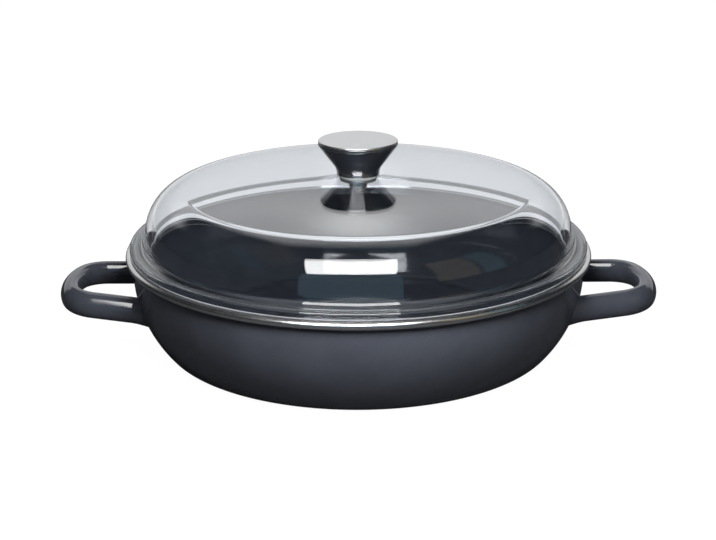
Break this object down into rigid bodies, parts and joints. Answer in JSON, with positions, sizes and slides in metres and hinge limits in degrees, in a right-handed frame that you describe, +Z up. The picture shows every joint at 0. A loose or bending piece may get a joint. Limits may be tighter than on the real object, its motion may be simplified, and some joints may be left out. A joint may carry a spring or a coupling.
{
  "type": "braiser",
  "caption": "Round enamelled braiser with a curved side, a steel rim band, loop handles at both sides and a domed glass lid that lifts off and turns, with a flared steel knob.",
  "frame": {"origin": "middle of the flat base, on the surface that the pan stands on", "axes": "+Z up along the axis of the round pan and lid, +X along the line through both handles, -Y towards the viewer of the picture"},
  "size_m": [0.3782, 0.292, 0.131],
  "materials": {
    "enamel": "glossy",
    "rim_steel": "satin",
    "clear_glass": "glossy",
    "knob_steel": "polished",
    "cap_steel": "satin",
    "fastener_steel": "satin",
    "seal_rubber": "matte"
  },
  "bodies": {
    "pan": {"pan_body": "enamel", "rim_band": "rim_steel", "left_handle": "enamel", "right_handle": "enamel", "left_front_foot": "enamel", "left_back_foot": "enamel", "right_front_foot": "enamel", "right_back_foot": "enamel"},
    "knob": {"knob_screw": "fastener_steel", "spring_washer": "fastener_steel", "inner_washer": "fastener_steel", "inner_seal": "seal_rubber", "glass_bush": "seal_rubber", "knob_seal": "seal_rubber", "knob_shell": "knob_steel", "knob_cap": "cap_steel", "knob_insert": "fastener_steel"},
    "glass_lid": {"lid_glass": "clear_glass"}
  },
  "joints": [
    {"name": "lid_lift", "type": "slide", "parent": "pan", "child": "knob", "axis": [0, 0, 1], "range_m": [0, 0.12]},
    {"name": "lid_turn", "type": "hinge", "parent": "knob", "child": "glass_lid", "pos_m": [0, 0, 0.1066], "axis": [0, 0, 1], "continuous": true}
  ]
}
